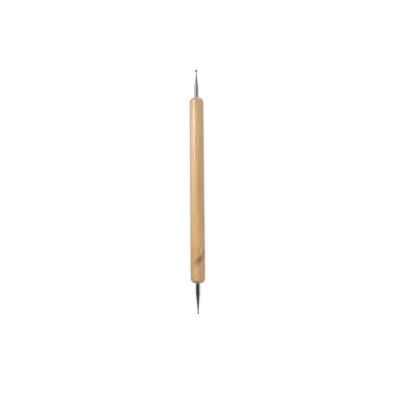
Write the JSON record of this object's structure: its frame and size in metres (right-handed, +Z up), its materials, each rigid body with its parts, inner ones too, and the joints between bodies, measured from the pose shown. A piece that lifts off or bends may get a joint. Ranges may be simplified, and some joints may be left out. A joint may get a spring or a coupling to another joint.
{
  "type": "clay modeling tool",
  "caption": "Double-ended ball stylus for clay: a turned wooden handle with a tapered steel pin and a small ball at each end, one larger than the other.",
  "frame": {"origin": "on the tool's axis, at the middle of the handle", "axes": "+Y along the tool's axis, towards the larger ball; +Z up when the tool lies on a table; the tool is round, so X and Z are alike"},
  "size_m": [0.008, 0.14, 0.008],
  "materials": {
    "lacquered_wood": "clear satin lacquer over pale turned hardwood",
    "turned_steel": "turned and polished, bright",
    "ball_steel": "polished",
    "glue": "clear amber epoxy"
  },
  "bodies": {
    "root": {"handle": "lacquered_wood", "upper_pin": "turned_steel", "upper_ball": "ball_steel", "upper_glue": "glue", "lower_pin": "turned_steel", "lower_ball": "ball_steel", "lower_glue": "glue"}
  },
  "joints": []
}
